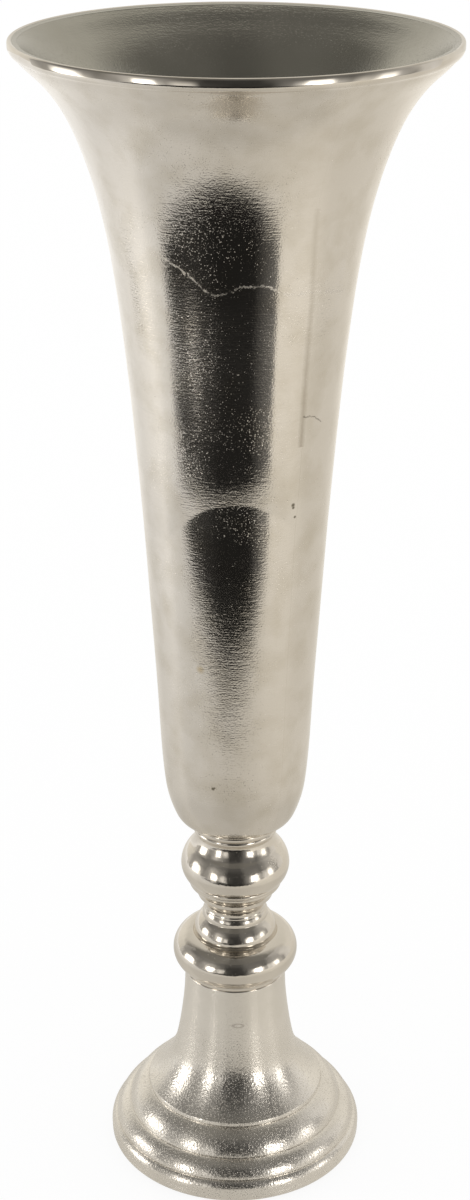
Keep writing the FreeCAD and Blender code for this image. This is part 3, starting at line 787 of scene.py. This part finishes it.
# How much of the table's white is its own light, to the camera and in the metal; the rest takes the shadow
TABLE_SEEN_SHARE, TABLE_MIRRORED_SHARE = 0.88, 0.97


def sheet_of(name, x, y, z):
    """A stage surface from grids of x, y and z."""
    rows, cols = x.shape
    row, col = np.meshgrid(np.arange(rows - 1), np.arange(cols - 1), indexing="ij")
    first = row * cols + col
    quads = np.stack([first, first + 1, first + cols + 1, first + cols], -1).reshape(-1, 4)
    piece = surface(name, np.stack([x, y, z], -1).reshape(-1, 3), quads)
    return piece


def table_part(name, near, far, material):
    """A level part of the table between two lines of points (x, y), each from left to right."""
    x, y = np.array([near, far]).transpose(2, 0, 1)
    piece = sheet_of(name, x, y, np.zeros_like(x))
    piece.data.materials.append(material)
    return piece


def by_azimuth(tree, vector, stops):
    """Brightness by the angle of a vector from -Y, from a ramp through the stops."""
    parts = add(tree, "SeparateXYZ", (vector,))
    front = add(tree, "Math", (parts.outputs["Y"], -1.0), operation="MULTIPLY")
    angle = add(tree, "Math", (parts.outputs["X"], front), operation="ARCTAN2")
    first, last = stops[0][0], stops[-1][0]
    most = max(value for _, value in stops)
    share = add(tree, "MapRange", (angle, math.radians(first), math.radians(last)))
    shade = add(tree, "ValToRGB", (share,))
    elements = shade.color_ramp.elements
    while len(elements) < len(stops):
        elements.new(1.0)
    for element, (azimuth, value) in zip(elements, stops):
        grey = value / most
        element.position = (azimuth - first) / (last - first)
        element.color = (grey, grey, grey, 1.0)
    return add(tree, "Math", (shade, most), operation="MULTIPLY")


def table_white():
    """White table: white to the camera, and in the metal with painted light and shade by azimuth and
    distance, warmer to the right.

    A small share of it is plain diffuse white, which takes the vase's shadow.
    """
    material, tree = blank("table_white")
    place = add(tree, "TexCoord").outputs["Object"]
    across = add(tree, "SeparateXYZ", (place,)).outputs["X"]
    to_right = add(tree, "MapRange", (across, -0.8, 0.1))
    warm = add(tree, "Mix", {0: to_right, 6: colour("#fdfbf8"), 7: colour("#fbf5ea")}, data_type="RGBA")
    # Painted light and shade in the metal: brighter by azimuth and further out, darker close to the vase
    reach = add(tree, "VectorMath", (place,), operation="LENGTH")
    further = add(tree, "MapRange", (reach, TABLE_GAIN_START, TABLE_GAIN_START + 1.0))
    more = add(tree, "Math", (by_azimuth(tree, place, TABLE_GAIN), further), operation="MULTIPLY")
    gain = add(tree, "Math", (more, 1.0), operation="ADD")
    near = add(tree, "MapRange", (reach, *TABLE_SHADE_NEAR, TABLE_SHADE_NEAR_SHARE, 1.0))
    gained = add(tree, "Math", (by_azimuth(tree, place, TABLE_LIGHT), gain), operation="MULTIPLY")
    level = add(tree, "Math", (gained, near), operation="MULTIPLY")

    rays = add(tree, "LightPath")
    camera_ray, glossy_ray = rays.outputs["Is Camera Ray"], rays.outputs["Is Glossy Ray"]
    diffuse = add(tree, "BsdfDiffuse", (colour("#fdfdfd"),))
    seen = add(tree, "Emission", ((1, 1, 1, 1), 1.0))
    mirrored = add(tree, "Emission", (warm, level))
    both = add(tree, "MixShader", (glossy_ray, seen, mirrored))
    shows = add(tree, "Math", (camera_ray, glossy_ray), operation="MAXIMUM")
    seen_share = add(tree, "Math", (shows, TABLE_SEEN_SHARE), operation="MULTIPLY")
    share = add(tree, "Mix", {0: glossy_ray, 2: seen_share, 3: TABLE_MIRRORED_SHARE})
    mixed = add(tree, "MixShader", (share, diffuse, both))
    add(tree, "OutputMaterial", (mixed,))
    return material


def lamps_and_wall():
    """Tall soft lamps round the front, a dim room between them, and the dark under the table's height."""
    material, tree = blank("lamps_and_wall")
    place = add(tree, "TexCoord").outputs["Object"]
    height = add(tree, "SeparateXYZ", (place,)).outputs["Z"]
    over_glow = add(tree, "MapRange", (height, GLOW_LOW - STEP_SOFT, GLOW_LOW + STEP_SOFT))
    low = add(tree, "Mix", {0: over_glow, 2: by_azimuth(tree, place, UNDER_LIGHT),
                            3: by_azimuth(tree, place, GLOW_LIGHT)})
    brightest = add(tree, "MapRange", (height, *BRIGHTEST))
    extra = add(tree, "Math", (brightest, by_azimuth(tree, place, LAMP_EXTRA)), operation="MULTIPLY")
    lit = add(tree, "Math", (by_azimuth(tree, place, LAMP_LIGHT), extra), operation="ADD")
    over_tops = add(tree, "MapRange", (height, *LAMP_TOPS))
    over = add(tree, "Mix", {0: over_tops, 2: lit, 3: by_azimuth(tree, place, OVER_LAMPS)})
    over_room = add(tree, "MapRange", (height, *ROOM_TOP))
    high = add(tree, "Mix", {0: over_room, 2: over, 3: by_azimuth(tree, place, WALL_TOP)})
    over_low = add(tree, "MapRange", (height, LAMP_LOW - STEP_SOFT, LAMP_LOW + STEP_SOFT))
    level = add(tree, "Mix", {0: over_low, 2: low, 3: high})
    light = add(tree, "Emission", (colour("#fffbf5"), level))
    add(tree, "OutputMaterial", (light,))
    return material


def world():
    """White to the camera; to the metal, white behind the vase and a ceiling that is dark in front."""
    made = bpy.data.worlds.new("studio")
    bpy.context.scene.world = made
    made.use_nodes = True
    tree = made.node_tree
    tree.nodes.clear()
    direction = add(tree, "TexCoord").outputs["Generated"]
    rise = add(tree, "SeparateXYZ", (direction,)).outputs["Z"]
    room = add(tree, "Mix", {0: add(tree, "MapRange", (rise, *CEILING_RISE)),
                             2: by_azimuth(tree, direction, BACK_LIGHT),
                             3: by_azimuth(tree, direction, CEILING)})
    metal_sees = add(tree, "Background", (colour("#fffaf0"), room))
    plain = add(tree, "Background", ((1, 1, 1, 1), 1.0))
    glossy_ray = add(tree, "LightPath").outputs["Is Glossy Ray"]
    mixed = add(tree, "MixShader", (glossy_ray, plain, metal_sees))
    add(tree, "OutputWorld", (mixed,))


def studio():
    """The table in four parts round the notch, and the wall that only the metal sees.

    The part in the notch is hidden from the metal, which sees down past the table's edge there.
    """
    white = table_white()
    (left, left_y), (right, right_y) = NOTCH_EDGE[0], NOTCH_EDGE[-1]
    edge = [(-TABLE_REACH, left_y)] + NOTCH_EDGE + [(TABLE_REACH, right_y)]
    table_part("table_back", edge, [(x, TABLE_REACH) for x, _ in edge], white)
    table_part("table_left", [(-TABLE_REACH, -TABLE_REACH), (left, -TABLE_REACH)], edge[:2], white)
    right_front = [(NOTCH_RIGHT_FAR, -TABLE_REACH), (TABLE_REACH, -TABLE_REACH)]
    table_part("table_right", right_front, edge[-2:], white)
    shares = [(x - left) / (right - left) for x, _ in NOTCH_EDGE]
    front = [(left + (NOTCH_RIGHT_FAR - left) * share, -TABLE_REACH) for share in shares]
    apron = table_part("table_front", front, NOTCH_EDGE, white)
    apron.visible_glossy = False
    angles = np.radians(np.linspace(LAMP_LIGHT[0][0], LAMP_LIGHT[-1][0], WALL_COLUMNS))
    angle, height = np.meshgrid(angles, [WALL_LOW, WALL_HIGH])
    x, y = WALL_DISTANCE * np.sin(angle), -WALL_DISTANCE * np.cos(angle)
    wall = sheet_of("lamps_and_wall", x, y, height)
    wall.data.materials.append(lamps_and_wall())
    wall.visible_camera = False
    wall.visible_shadow = False
    wall.visible_diffuse = False


def camera():
    """The photograph's view, from 1.6 m away and 24 degrees above, on a frame 36 mm tall."""
    lens, frame_height, shift = 65.6, 36.0, -0.0005
    distance, height, degrees_down, roll = 1.2732, 0.9691, 23.787, 0.00124
    data = bpy.data.cameras.new("camera")
    data.lens = lens
    data.sensor_width = frame_height
    data.shift_x = shift
    made = bpy.data.objects.new("camera", data)
    bpy.context.scene.collection.objects.link(made)
    made.location = (0, -distance, height)
    made.rotation_mode = "ZYX"
    made.rotation_euler = (math.radians(90 - degrees_down), 0, roll)
    bpy.context.scene.camera = made


world()
studio()
camera()
bpy.context.scene.view_settings.view_transform = "Standard"
